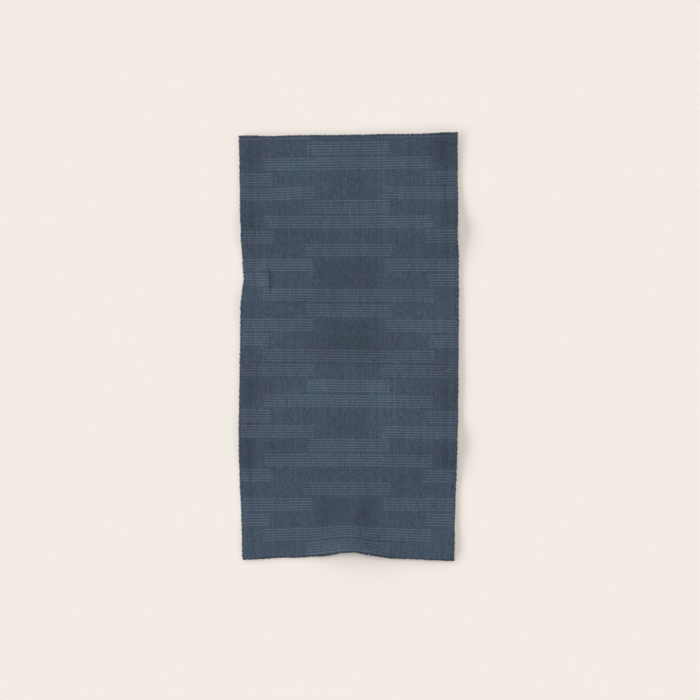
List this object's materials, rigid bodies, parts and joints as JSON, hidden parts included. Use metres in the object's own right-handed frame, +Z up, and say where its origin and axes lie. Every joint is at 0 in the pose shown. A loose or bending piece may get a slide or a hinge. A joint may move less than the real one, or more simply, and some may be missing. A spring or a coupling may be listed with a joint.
{
  "type": "bath towel",
  "caption": "Rectangular woven bath towel with a narrow rolled hem, lying flat with one low arched fold at its foot edge and small lifts and a pucker along its long sides.",
  "frame": {"origin": "middle of the towel's outline, on the surface that it lies on", "axes": "+X across the towel to the right as it is seen from above, +Y along it to its head end, +Z up from the surface"},
  "size_m": [0.7182, 1.3954, 0.0414],
  "materials": {
    "towel_cloth": "matte woven cotton"
  },
  "bodies": {
    "root": {"towel_cloth": "towel_cloth"}
  },
  "joints": []
}
